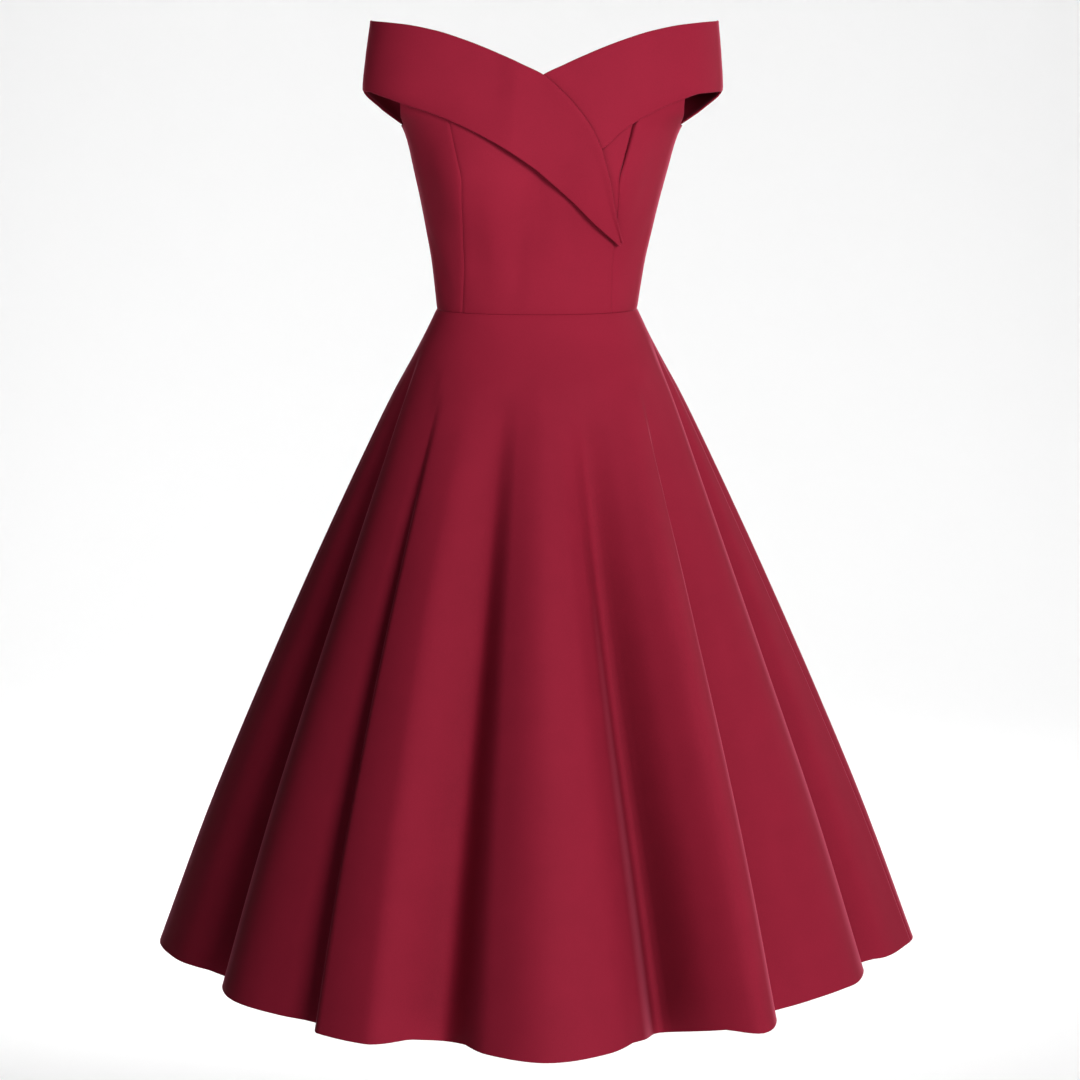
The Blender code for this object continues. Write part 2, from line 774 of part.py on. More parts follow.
def slider_face():
    """Middle of the slider's outer face."""
    return collar_out(SLIDER_HEIGHT) + Vector((0.0, SEAM_GAP + SLIDER_THICKNESS, 0.0))


def keel_depth():
    """From the slider's inner face through collar and panel, to just short of the tape."""
    tape = moved_out(bodice_surface, 180.0, SLIDER_HEIGHT, -WALL - ZIP_TAPE_GAP)
    return slider_face().y - SLIDER_THICKNESS - tape.y - SEAM_GAP


def zip_pull(collection, cutters, material):
    """Drop-shaped pull with a window whose top bar turns in the slider's bridge."""
    plate = prism(both_sides(PULL_HALF_OUTLINE), 1, PULL_WALL, -PULL_WALL / 2)
    part = link_object("zip_pull", plate, collection, material)
    part.location = slider_face() + Vector((0.0, PULL_AXIS_OUT, 0.0))
    window = prism(both_sides(PULL_WINDOW_HALF_OUTLINE), 1, 3 * PULL_WALL, -1.5 * PULL_WALL)
    join_to(part, window, "pull_window", cutters, "DIFFERENCE")
    return part


def build():
    for old in list(bpy.data.objects):
        bpy.data.objects.remove(old, do_unlink=True)
    collection = bpy.data.collections.new("off_shoulder_dress")
    bpy.context.scene.collection.children.link(collection)
    panels = (
        ("bodice_front_centre", bodice_points(bodice_front_centre(), 1), WALL),
        ("bodice_side_front_left", bodice_points(bodice_side_front(), 1), WALL),
        ("bodice_side_front_right", bodice_points(bodice_side_front(), -1), WALL),
        ("bodice_back_left", bodice_points(bodice_back(), 1), WALL),
        ("bodice_back_right", bodice_points(bodice_back(), -1), WALL),
        ("skirt_front", skirt_panel(-90.0, 90.0, seam_half_gap, seam_half_gap), WALL),
        ("skirt_back_left", skirt_panel(90.0, 180.0, seam_half_gap, zip_half_gap), WALL),
        ("skirt_back_right", skirt_panel(-180.0, -90.0, zip_half_gap, seam_half_gap), WALL),
        ("collar_over_right", over_collar(), COLLAR_WALL),
        ("collar_under_left", under_collar(), COLLAR_WALL),
    )
    for name, points, wall in panels:
        crepe = new_material(name + "_crepe", CREPE_COLOUR, CREPE_ROUGHNESS)
        cloth_panel(name, points, wall, collection, crepe)
    cutters = bpy.data.collections.new("cutters")
    bpy.context.scene.collection.children.link(cutters)
    woven = new_material("zip_tape_woven", TAPE_COLOUR, TAPE_ROUGHNESS)
    cloth_panel("zip_tape", zip_tape_points(), ZIP_TAPE_WALL, collection, woven)
    enamel = (ENAMEL_COLOUR, ENAMEL_ROUGHNESS, ENAMEL_METALLIC)
    zip_slider(collection, cutters, new_material("zip_slider_enamel", *enamel))
    zip_pull(collection, cutters, new_material("zip_pull_enamel", *enamel))


build()
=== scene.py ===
import math

import bpy
import numpy as np
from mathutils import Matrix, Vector


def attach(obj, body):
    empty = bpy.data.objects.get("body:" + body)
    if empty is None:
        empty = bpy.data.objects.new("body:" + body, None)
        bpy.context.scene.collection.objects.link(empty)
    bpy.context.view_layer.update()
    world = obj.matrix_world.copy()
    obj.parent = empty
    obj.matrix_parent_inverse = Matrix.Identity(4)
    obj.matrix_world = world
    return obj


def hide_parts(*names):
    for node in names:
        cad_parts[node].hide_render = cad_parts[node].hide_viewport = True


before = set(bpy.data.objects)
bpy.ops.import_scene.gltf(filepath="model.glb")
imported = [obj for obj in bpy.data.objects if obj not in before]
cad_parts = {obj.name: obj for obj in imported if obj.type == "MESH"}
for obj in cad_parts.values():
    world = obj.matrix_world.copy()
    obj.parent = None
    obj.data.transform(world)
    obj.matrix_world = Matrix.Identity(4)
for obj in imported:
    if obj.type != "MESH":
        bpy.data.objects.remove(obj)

# The dress form, as in the CAD part. A place on the dress is an angle round the body
# (0 at the front centre, +90 at the wearer's left side) and a height above the waist seam.
WALL = 0.0013
COLLAR_WALL = 0.0024
SEAM_GAP = 0.00006
LAYER_GAP = 0.0004
LAYER_GAP_SPREAD = 0.0006
HEM_HEIGHT = -0.785
UNDERARM_HEIGHT = 0.2170
BODICE_TOP_INSET = 0.0030
DEGREE_LENGTH = 0.0025
ANGLE_STEP = 0.5
HEIGHT_STEP = 0.001
LEAN = 0.026
ZIP_TOP = 0.2560
ZIP_BOTTOM = -0.1800
ZIP_HALF_SLIT = 0.0006

BODY_COLUMNS = ("height", "half_width", "front_depth", "back_depth", "roundness")
BODICE_SECTIONS = (
    (0.0000, 0.1200, 0.0900, 0.0860, 2.30),
    (0.0575, 0.1277, 0.0940, 0.0880, 2.30),
    (0.0930, 0.1347, 0.0990, 0.0910, 2.30),
    (0.1290, 0.1423, 0.1050, 0.0940, 2.30),
    (0.1650, 0.1510, 0.1100, 0.0980, 2.30),
    (0.2000, 0.1598, 0.1120, 0.1010, 2.30),
    (0.2170, 0.1668, 0.1120, 0.1020, 2.30),
    (0.2405, 0.1925, 0.1110, 0.1030, 2.30),
    (0.2617, 0.2105, 0.1090, 0.1040, 2.30),
    (0.2970, 0.2080, 0.1060, 0.1030, 2.30),
    (0.3390, 0.2035, 0.1020, 0.1010, 2.30),
)
SKIRT_SECTIONS = (
    (-0.7850, 0.4690, 0.4800, 0.4730, 2.00),
    (-0.6190, 0.4068, 0.4030, 0.4040, 2.00),
    (-0.5060, 0.3600, 0.3470, 0.3530, 2.00),
    (-0.3190, 0.2775, 0.2540, 0.2660, 2.02),
    (-0.1720, 0.2085, 0.1780, 0.1930, 2.08),
    (-0.0990, 0.1723, 0.1400, 0.1500, 2.14),
    (-0.0630, 0.1522, 0.1210, 0.1260, 2.20),
    (-0.0265, 0.1328, 0.1020, 0.1020, 2.26),
    (0.0000, 0.1200, 0.0900, 0.0860, 2.30),
)
BUST_RISE = 0.016
BUST_ANGLE = 38.0
BUST_ANGLE_SPREAD = 21.0
BUST_HEIGHT = 0.150
BUST_HEIGHT_SPREAD = 0.060

# One row for each ridge, slope and valley that runs down the skirt.
FOLD_COLUMNS = ("hem_angle", "waist_angle", "hem_share", "start")
FOLDS = (
    (-180.0, -178.0, 0.975, 0.10),
    (-163.0, -163.0, 0.850, 0.12),
    (-148.0, -146.0, 0.960, 0.08),
    (-131.0, -132.0, 0.860, 0.12),
    (-118.0, -119.0, 0.965, 0.08),
    (-105.0, -107.0, 0.870, 0.14),
    (-92.0, -95.0, 0.998, 0.00),
    (-80.0, -86.0, 0.950, 0.05),
    (-70.5, -80.0, 0.858, 0.06),
    (-66.5, -77.0, 0.800, 0.06),
    (-62.8, -72.0, 0.888, 0.06),
    (-54.5, -63.0, 0.916, 0.06),
    (-44.5, -54.0, 0.896, 0.08),
    (-37.0, -50.0, 0.876, 0.10),
    (-33.8, -45.5, 0.940, 0.10),
    (-25.0, -35.0, 0.952, 0.10),
    (-15.5, -17.0, 0.822, 0.10),
    (-7.0, -8.0, 0.945, 0.08),
    (1.5, 1.0, 1.000, 0.00),
    (10.0, 8.0, 0.948, 0.08),
    (17.0, 14.0, 0.842, 0.10),
    (25.0, 22.0, 0.700, 0.10),
    (30.0, 34.0, 0.856, 0.10),
    (34.5, 42.0, 0.950, 0.08),
    (40.3, 51.0, 0.892, 0.10),
    (44.0, 55.0, 0.782, 0.10),
    (54.0, 64.0, 0.832, 0.08),
    (65.0, 73.0, 0.890, 0.06),
    (72.5, 79.0, 0.876, 0.04),
    (76.0, 83.0, 0.832, 0.04),
    (80.5, 87.0, 0.915, 0.04),
    (86.0, 91.0, 0.958, 0.02),
    (93.0, 96.0, 0.998, 0.00),
    (107.0, 108.0, 0.870, 0.14),
    (121.0, 121.0, 0.960, 0.08),
    (134.0, 134.0, 0.862, 0.12),
    (149.0, 148.0, 0.965, 0.08),
    (165.0, 165.0, 0.850, 0.12),
    (180.0, 182.0, 0.975, 0.10),
)
FOLD_GROWTH = 5.0
HEM_DROP = 0.120
HEM_DROP_START = 0.120
HEM_DROP_GROWTH = 4.0

# Curves on the dress as (angle, height) rows, written for the wearer's left side.
POINT_COLUMNS = ("angle", "height")
PRINCESS_SEAM = (
    (53.0, 0.0000),
    (50.0, 0.0450),
    (47.5, 0.0820),
    (43.0, 0.1200),
    (40.5, 0.1580),
    (43.5, 0.1850),
    (47.5, 0.2150),
    (49.5, 0.2500),
    (50.0, 0.3230),
)
SIDE_SEAM = ((90.0, 0.0000), (90.0, UNDERARM_HEIGHT))
FRONT_ARMHOLE = (
    (90.0, UNDERARM_HEIGHT),
    (80.0, 0.2175),
    (73.0, 0.2290),
    (68.5, 0.2410),
    (66.0, 0.2560),
    (64.0, 0.2900),
    (63.0, 0.3310),
)
BACK_ARMHOLE = (
    (90.0, UNDERARM_HEIGHT),
    (99.0, 0.2180),
    (107.0, 0.2260),
    (111.0, 0.2450),
    (113.0, 0.2800),
    (114.0, 0.3270),
)
BACK_CENTRE = ((180.0, 0.0000), (180.0, 0.2590))
FRONT_NECKLINE = (
    (0.0, 0.2785),
    (13.0, 0.2905),
    (30.0, 0.3060),
    (44.0, 0.3190),
    (56.0, 0.3295),
    (67.0, 0.3360),
    (79.0, 0.3390),
    (90.0, 0.3400),
)
BACK_NECKLINE = (
    (90.0, 0.3400),
    (102.0, 0.3375),
    (114.0, 0.3300),
    (130.0, 0.3120),
    (150.0, 0.2840),
    (168.0, 0.2660),
    (180.0, 0.2620),
)
BACK_COLLAR_LOWER_EDGE = (
    (90.0, 0.2605),
    (94.0, 0.2412),
    (99.0, 0.2222),
    (108.0, 0.2095),
    (125.0, 0.2035),
    (150.0, 0.1960),
    (180.0, 0.1900),
)
OVER_COLLAR_LOWER_EDGE = (
    (90.0, 0.2605),
    (79.8, 0.2600),
    (72.4, 0.2550),
    (63.0, 0.2450),
    (52.8, 0.2345),
    (34.0, 0.2131),
    (21.5, 0.1973),
    (11.0, 0.1835),
    (-3.2, 0.1638),
    (-17.5, 0.1395),
    (-31.9, 0.1100),
    (-48.5, 0.0830),
)
OVER_COLLAR_FREE_EDGE = (
    (0.0, 0.2785),
    (-10.4, 0.2613),
    (-18.9, 0.2430),
    (-26.6, 0.2190),
    (-30.9, 0.1938),
    (-33.7, 0.1651),
    (-38.2, 0.1299),
    (-48.8, 0.0870),
)
UNDER_COLLAR_LOWER_EDGE = (
    (90.0, 0.2605),
    (79.8, 0.2600),
    (71.0, 0.2585),
    (64.0, 0.2510),
    (50.0, 0.2300),
    (41.0, 0.2141),
    (30.9, 0.1945),
    (15.0, 0.1830),
    (0.0, 0.1950),
    (-12.0, 0.2150),
)
UNDER_COLLAR_FREE_EDGE = (
    (0.0, 0.2785),
    (-6.0, 0.2680),
    (-12.0, 0.2500),
)


def smooth_step(value):
    value = min(max(value, 0.0), 1.0)
    return value * value * (3.0 - 2.0 * value)


def row_slope(rows, index, column):
    """Slope of one column at a row, level where the column turns back."""
    low = max(index - 1, 0)
    high = min(index + 1, len(rows) - 1)
    before = after = None
    if low < index:
        before = (rows[index][column] - rows[low][column]) / (rows[index][0] - rows[low][0])
    if index < high:
        after = (rows[high][column] - rows[index][column]) / (rows[high][0] - rows[index][0])
    if before is None:
        return after
    if after is None:
        return before
    if before * after <= 0.0:
        return 0.0
    return 2.0 * before * after / (before + after)


def along_rows(rows, position, column):
    """Smooth value of one column at a position in the rows' rising first column."""
    position = min(max(position, rows[0][0]), rows[-1][0])
    index = 0
    while index < len(rows) - 2 and rows[index + 1][0] < position:
        index += 1
    span = rows[index + 1][0] - rows[index][0]
    t = (position - rows[index][0]) / span
    start_slope = row_slope(rows, index, column) * span
    end_slope = row_slope(rows, index + 1, column) * span
    return (
        (2 * t ** 3 - 3 * t ** 2 + 1) * rows[index][column]
        + (t ** 3 - 2 * t ** 2 + t) * start_slope
        + (3 * t ** 2 - 2 * t ** 3) * rows[index + 1][column]
        + (t ** 3 - t ** 2) * end_slope
    )


def body_radius(sections, angle, height):
    """Radius of the rounded section through the dress, without bust or folds."""
    half_width, front, back, roundness = (along_rows(sections, height, k) for k in range(1, 5))
    depth = front if abs(angle) <= 90.0 else back
    across = abs(math.sin(math.radians(angle))) / half_width
    along = abs(math.cos(math.radians(angle))) / depth
    return (across ** roundness + along ** roundness) ** (-1.0 / roundness)


def bust_rise(angle, height):
    sideways = (abs(angle) - BUST_ANGLE) / BUST_ANGLE_SPREAD
    upwards = (height - BUST_HEIGHT) / BUST_HEIGHT_SPREAD
    return BUST_RISE * math.exp(-sideways ** 2 - upwards ** 2)


def place(angle, radius, height):
    """World point at an angle and radius, on the line the dress leans along."""
    turn = math.radians(angle)
    lean = LEAN * max(height, 0.0)
    return Vector((radius * math.sin(turn) + lean, -radius * math.cos(turn), height))


def bodice_surface(angle, height):
    radius = body_radius(BODICE_SECTIONS, angle, height) + bust_rise(angle, height)
    return place(angle, radius, height)


def moved_out(surface, angle, height, out):
    """Point of a surface moved square to it, out of the dress or, below zero, into it."""
    around = surface(angle + ANGLE_STEP, height) - surface(angle - ANGLE_STEP, height)
    up = surface(angle, height + HEIGHT_STEP) - surface(angle, height - HEIGHT_STEP)
    return surface(angle, height) + around.cross(up).normalized() * out


def fold_share(row, height):
    """Share of the full skirt radius that one ridge, slope or valley keeps at a height."""
    start = row[3]
    down = height / HEM_HEIGHT
    left_over = 1.0 - max(down - start, 0.0) / (1.0 - start)
    return 1.0 - (1.0 - row[2]) * (1.0 - left_over ** FOLD_GROWTH)


def fold_angle(row, height):
    down = smooth_step(height / HEM_HEIGHT * 0.5 + 0.25)
    settled = (down - smooth_step(0.25)) / (smooth_step(0.75) - smooth_step(0.25))
    return row[1] + (row[0] - row[1]) * settled


def skirt_rows_at(height):
    return [(fold_angle(row, height), fold_share(row, height)) for row in FOLDS]


def skirt_surface(angle, height):
    wrapped = (angle + 180.0) % 360.0 - 180.0 if abs(angle) > 180.0 else angle
    rows = skirt_rows_at(height)
    around = [(rows[-2][0] - 360.0, rows[-2][1])] + rows + [(rows[1][0] + 360.0, rows[1][1])]
    share = along_rows(around, wrapped, 1)
    point = place(wrapped, body_radius(SKIRT_SECTIONS, wrapped, height) * share, height)
    sunk = max(1.0 - share - HEM_DROP_START, 0.0) * (height / HEM_HEIGHT) ** HEM_DROP_GROWTH
    return point - Vector((0.0, 0.0, HEM_DROP * sunk))


class Curve:
    """A smooth curve through (angle, height) rows, run from 0 to 1 by its length."""

    def __init__(self, points):
        lengths = [0.0]
        for before, after in zip(points, points[1:]):
            step = math.hypot((after[0] - before[0]) * DEGREE_LENGTH, after[1] - before[1])
            lengths.append(lengths[-1] + step)
        self.rows = [(length / lengths[-1],) + tuple(point) for length, point in zip(lengths, points)]

    def at(self, t):
        return along_rows(self.rows, t, 1), along_rows(self.rows, t, 2)


def lowered(points, drop):
    return tuple((angle, height - drop) for angle, height in points)


def part_of(points, start_angle, end_angle):
    """The rows of a curve between two angles, with its ends worked out."""
    rows = sorted(points)
    def height(angle):
        return along_rows(rows, angle, 1)
    inner = [row for row in rows if start_angle < row[0] < end_angle]
    return [(start_angle, height(start_angle))] + inner + [(end_angle, height(end_angle))]


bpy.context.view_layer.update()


END_CLEARANCE = 0.3


def dense_ends(count, ends=(0.0, 0.004, 0.010, 0.020, 0.035)):
    """Positions from 0 to 1, even in the middle and close together at both ends."""
    nearest = ends[-1] + END_CLEARANCE / count
    inner = [k / count for k in range(count + 1) if nearest < k / count < 1 - nearest]
    return list(ends) + inner + [1.0 - end for end in reversed(ends)]


def coons_grid(bottom, top, left, right, columns, rows):
    """Grid of (angle, height) places inside four curves run from 0 to 1."""
    corners = left(0.0), right(0.0), left(1.0), right(1.0)
    grid = []
    for v in rows:
        line = []
        for u in columns:
            here = []
            for k in range(2):
                edges = (1 - v) * bottom(u)[k] + v * top(u)[k] + (1 - u) * left(v)[k] + u * right(v)[k]
                bilinear = (
                    (1 - u) * (1 - v) * corners[0][k] + u * (1 - v) * corners[1][k]
                    + (1 - u) * v * corners[2][k] + u * v * corners[3][k]
                )
                here.append(edges - bilinear)
            line.append(tuple(here))
        grid.append(line)
    return grid


def joined(lower, upper, share):
    """Edge made of two curves that meet at a share of its run."""
    def edge(v):
        if v <= share:
            return lower.at(v / share)
        return upper.at((v - share) / (1.0 - share))
    return edge


def grid_normals(points):
    around = np.gradient(points, axis=1)
    up = np.gradient(points, axis=0)
    normals = np.cross(around, up)
    return normals / np.linalg.norm(normals, axis=2, keepdims=True)


def border(rows, columns):
    """Grid indices round the edge, anticlockwise as seen from outside."""
    bottom = [(0, i) for i in range(columns)]
    right = [(j, columns - 1) for j in range(1, rows)]
    top = [(rows - 1, i) for i in range(columns - 2, -1, -1)]
    left = [(j, 0) for j in range(rows - 2, 0, -1)]
    return bottom + right + top + left


def cloth_shell(name, points, wall, bulge, rim_steps=4):
    """Closed thin cloth through a grid of outer points, with rounded edges all round."""
    points = np.array(points, dtype=float)
    rows, columns = points.shape[:2]
    normals = grid_normals(points)
    inner = points - normals * wall
    count = rows * columns
    vertices = [tuple(p) for p in points.reshape(-1, 3)] + [tuple(p) for p in inner.reshape(-1, 3)]
    faces = []
    for j in range(rows - 1):
        for i in range(columns - 1):
            a = j * columns + i
            quad = (a, a + 1, a + columns + 1, a + columns)
            faces.append(quad)
            faces.append(tuple(count + index for index in reversed(quad)))
    ring = border(rows, columns)
    loops = [[j * columns + i for j, i in ring]]
    edge = np.array([points[j, i] for j, i in ring])
    normal = np.array([normals[j, i] for j, i in ring])
    run = np.roll(edge, -1, axis=0) - np.roll(edge, 1, axis=0)
    outward = np.cross(run, normal)
    outward /= np.linalg.norm(outward, axis=1, keepdims=True)
    for k in range(1, rim_steps):
        turn = math.pi * k / rim_steps
        ring_points = (edge - normal * wall / 2 + normal * (wall / 2 * math.cos(turn))
                       + outward * (bulge * math.sin(turn)))
        loops.append(list(range(len(vertices), len(vertices) + len(ring))))
        vertices += [tuple(p) for p in ring_points]
    loops.append([count + index for index in loops[0]])
    for before, after in zip(loops, loops[1:]):
        for k in range(len(ring)):
            following = (k + 1) % len(ring)
            faces.append((before[k], after[k], after[following], before[following]))
    mesh = bpy.data.meshes.new(name)
    mesh.from_pydata(vertices, [], faces)
    mesh.update()
    mesh.shade_smooth()
    part = bpy.data.objects.new(name, mesh)
    bpy.context.scene.collection.objects.link(part)
    return part


EDGE_BULGE = 0.0001

# Soft creases in the bodice: where each runs, how far it reaches and how deep it goes.
CREASE_COLUMNS = ("angle", "height", "end_angle", "end_height", "half_width", "depth")
BODICE_CREASES = (
    (-9.0, 0.165, -16.0, 0.015, 0.013, 0.0016),
    (12.0, 0.150, 8.0, 0.060, 0.018, -0.0016),
    (-33.0, 0.180, -40.0, 0.030, 0.012, 0.0014),
    (31.0, 0.120, 24.0, 0.040, 0.014, 0.0009),
    (62.0, 0.200, 58.0, 0.110, 0.010, 0.0010),
    (-64.0, 0.205, -60.0, 0.120, 0.011, 0.0009),
    (74.0, 0.110, 60.0, 0.030, 0.010, 0.0008),
    (-78.0, 0.100, -62.0, 0.020, 0.009, 0.0009),
    (128.0, 0.150, 140.0, 0.040, 0.013, 0.0013),
    (-131.0, 0.160, -139.0, 0.030, 0.012, 0.0012),
    (157.0, 0.120, 150.0, 0.010, 0.011, 0.0010),
    (-160.0, 0.110, -149.0, 0.015, 0.012, 0.0010),
)
CREASE_DEGREE_LENGTH = 0.75 * DEGREE_LENGTH
CREASE_REACH = 3.0
CREASE_FADE = 2.2


def crease_depth(angle, height):
    """How far the cloth sinks at a place because of the creases near it."""
    total = 0.0
    here = np.array((angle * CREASE_DEGREE_LENGTH, height))
    for row in BODICE_CREASES:
        start = np.array((row[0] * CREASE_DEGREE_LENGTH, row[1]))
        end = np.array((row[2] * CREASE_DEGREE_LENGTH, row[3]))
        along = end - start
        share = float(np.dot(here - start, along) / np.dot(along, along))
        off = np.linalg.norm(here - start - along * min(max(share, 0.0), 1.0))
        if off < CREASE_REACH * row[4]:
            fade = smooth_step(min(share, 1.0 - share) * CREASE_FADE + 0.5)
            total += row[5] * math.exp(-(off / row[4]) ** 2) * fade
    return total


SEAM_DEPTH = 0.0006
SEAM_REACH = 0.0018
WAIST_DEPTH = 0.0005

# Slit at the top of the wearer's left princess seam, where the seam stands a little open.
SLIT_DEPTH = 0.0042
SLIT_REACH = 0.0016
SLIT_HEIGHT = 0.206
SLIT_SPREAD = 0.040
SLIT_PUFF = 0.0016
SLIT_PUFF_REACH = 0.010


def seam_sink(distance, depth=SEAM_DEPTH, reach=SEAM_REACH):
    return depth * math.exp(-(distance / reach) ** 2)


def slit_sink(distance, height):
    """Open slit beside the seam, with the cloth puffed up a little on both sides of it."""
    open_here = math.exp(-((height - SLIT_HEIGHT) / SLIT_SPREAD) ** 2)
    return open_here * (seam_sink(distance, SLIT_DEPTH + SLIT_PUFF, SLIT_REACH)
                        - seam_sink(distance, SLIT_PUFF, SLIT_PUFF_REACH))


def shifted_ends(places, first_gap, last_gap):
    """A row of places with its two ends moved in by half the gap at their seams."""
    places = list(places)
    angle, height = places[0]
    places[0] = (angle + math.degrees(first_gap / body_radius(BODICE_SECTIONS, angle, height)), height)
    angle, height = places[-1]
    places[-1] = (angle - math.degrees(last_gap / body_radius(BODICE_SECTIONS, angle, height)), height)
    return places


def bodice_shell(name, grid, side, left_seam, right_seam, first_gap, last_gap, slit=None):
    """Bodice panel over its grid of places, sunk at the seams and along its creases."""
    lines = []
    for line in grid:
        points = []
        places = shifted_ends(line, first_gap, last_gap)
        for angle, height in places:
            metre = body_radius(BODICE_SECTIONS, angle, height) * math.radians(1.0)
            first = abs(angle - places[0][0]) * metre
            last = abs(angle - places[-1][0]) * metre
            sink = seam_sink(height, WAIST_DEPTH) + crease_depth(angle * side, height)
            if left_seam(height):
                sink += seam_sink(first)
            if right_seam(height):
                sink += seam_sink(last)
            if slit == "first":
                sink += slit_sink(first, height)
            if slit == "last":
                sink += slit_sink(last, height)
            points.append(tuple(moved_out(bodice_surface, angle * side, height, -sink)))
        lines.append(points if side > 0 else points[::-1])
    return cloth_shell(name, lines, WALL, EDGE_BULGE)


def neck_top(points):
    return lowered(points, BODICE_TOP_INSET)


def princess_seam():
    top = (PRINCESS_SEAM[-1][0], along_rows(neck_top(FRONT_NECKLINE), PRINCESS_SEAM[-1][0], 1))
    return Curve(((PRINCESS_SEAM[0][0], SEAM_GAP / 2),) + PRINCESS_SEAM[1:-1] + (top,))


SIDE_SEAM_SHARE = 0.6


def side_edge(armhole, top_end):
    side = Curve(((SIDE_SEAM[0][0], SEAM_GAP / 2), SIDE_SEAM[1]))
    return joined(side, Curve(armhole[:-1] + (top_end,)), SIDE_SEAM_SHARE)


def waist_curve(left_angle, right_angle):
    return lambda u: (left_angle + (right_angle - left_angle) * u, SEAM_GAP / 2)


def always(height):
    return True


def below_underarm(height):
    return height < UNDERARM_HEIGHT


BODICE_ROWS = 64
CENTRE_COLUMNS = 80
SIDE_COLUMNS = 30
SIDE_COLUMN_ENDS = (0.0, 0.01, 0.025, 0.05, 0.08)
BACK_COLUMNS = 60


def build_bodice():
    """Front centre between the princess seams, then a side front and a back for each side."""
    rows = dense_ends(BODICE_ROWS)
    seam = princess_seam()

    def right_seam(v):
        angle, height = seam.at(v)
        return -angle, height

    half = part_of(neck_top(FRONT_NECKLINE), 0.0, PRINCESS_SEAM[-1][0])
    top = Curve([(-angle, height) for angle, height in reversed(half)] + half[1:])
    centre = coons_grid(waist_curve(-PRINCESS_SEAM[0][0], PRINCESS_SEAM[0][0]), top.at,
                        right_seam, seam.at, dense_ends(CENTRE_COLUMNS), rows)
    parts = {"bodice_front_centre": bodice_shell("front_centre_cloth", centre, 1, always, always,
                                                 SEAM_GAP / 2, SEAM_GAP / 2, "last")}
    top = Curve(part_of(neck_top(FRONT_NECKLINE), PRINCESS_SEAM[-1][0], FRONT_ARMHOLE[-1][0]))
    side = coons_grid(waist_curve(PRINCESS_SEAM[0][0], SIDE_SEAM[0][0]), top.at, seam.at,
                      side_edge(FRONT_ARMHOLE, top.at(1.0)),
                      dense_ends(SIDE_COLUMNS, SIDE_COLUMN_ENDS), rows)
    top = Curve(part_of(neck_top(BACK_NECKLINE), BACK_ARMHOLE[-1][0], BACK_CENTRE[-1][0]))
    centre_back = Curve(((BACK_CENTRE[0][0], SEAM_GAP / 2), top.at(1.0)))
    back = coons_grid(waist_curve(SIDE_SEAM[0][0], BACK_CENTRE[0][0]), top.at,
                      side_edge(BACK_ARMHOLE, top.at(0.0)), centre_back.at, dense_ends(BACK_COLUMNS), rows)
    for side_name, sign in (("left", 1), ("right", -1)):
        parts["bodice_side_front_" + side_name] = bodice_shell(
            f"side_front_{side_name}_cloth", side, sign, always, below_underarm, SEAM_GAP / 2, SEAM_GAP / 2,
            "first" if sign > 0 else None)
        parts["bodice_back_" + side_name] = bodice_shell(
            f"back_{side_name}_cloth", back, sign, below_underarm, always, SEAM_GAP / 2, ZIP_HALF_SLIT)
    return parts


HEM_COLUMN_SPACING = 0.8
LEAST_COLUMNS = 3
SEAM_CLEARANCE = 1.5
SEAM_COLUMNS = (0.25, 0.55, 1.0)
SKIRT_ROWS = 110
SKIRT_ROW_CROWDING = 1.15
HEM_ROWS = (0.0, 0.001, 0.003)
WAIST_ROWS = (0.996, 0.999, 1.0)


def skirt_columns(first, last):
    """Column angles at the hem between two seams, close together beside the seams and sharp folds."""
    angles = []
    for before, after in zip(FOLDS, FOLDS[1:]):
        count = max(LEAST_COLUMNS, round((after[0] - before[0]) / HEM_COLUMN_SPACING))
        angles += [before[0] + (after[0] - before[0]) * k / count for k in range(count)]
    inner = [angle for angle in angles if first + SEAM_CLEARANCE < angle < last - SEAM_CLEARANCE]
    start = [first] + [first + k for k in SEAM_COLUMNS]
    end = [last - k for k in reversed(SEAM_COLUMNS)] + [last]
    return start + inner + end


def skirt_half_gap(height, zipped):
    return ZIP_HALF_SLIT if zipped and height > ZIP_BOTTOM else SEAM_GAP / 2


def skirt_shell(name, first, last, zipped_end):
    """Skirt panel between two seams, on the folds' surface and sunk along its seams."""
    columns = skirt_columns(first, last)
    rows = list(HEM_ROWS) + [k / SKIRT_ROWS for k in range(1, SKIRT_ROWS)] + list(WAIST_ROWS)
    lines = []
    top = -SEAM_GAP / 2
    for v in rows:
        down = (1.0 - v) ** SKIRT_ROW_CROWDING
        height = top + (HEM_HEIGHT - top) * down
        follow = [(row[0], fold_angle(row, height)) for row in FOLDS]
        low = along_rows(follow, first, 1)
        high = along_rows(follow, last, 1)
        radius = body_radius(SKIRT_SECTIONS, first, height)
        points = []
        for k, angle in enumerate(columns):
            here = along_rows(follow, angle, 1)
            here = first + (here - low) / (high - low) * (last - first)
            if k == 0:
                here += math.degrees(skirt_half_gap(height, zipped_end == "first") / radius)
            if k == len(columns) - 1:
                here -= math.degrees(skirt_half_gap(height, zipped_end == "last") / radius)
            to_seam = min(abs(here - first), abs(here - last)) * math.radians(radius)
            sink = seam_sink(to_seam) + seam_sink(abs(height - top), WAIST_DEPTH)
            point = skirt_surface(here, height)
            inward = Vector((point.x, point.y, 0.0)).normalized() * -sink
            points.append(tuple(point + inward))
        lines.append(points)
    return cloth_shell(name, lines, WALL, EDGE_BULGE)


COLLAR_BACK_COLUMNS = 70
COLLAR_FRONT_COLUMNS = 150
COLLAR_ROWS = 26
CROSSING_START = 28.0
CROSSING_RAMP = 13.0
COLLAR_LIFT = 0.0035
COLLAR_LIFT_ANGLE = 18.0
COLLAR_LIFT_SPREAD = 26.0
COLLAR_LIFT_CURVE = 1.5
COLLAR_RIM_STEPS = 8

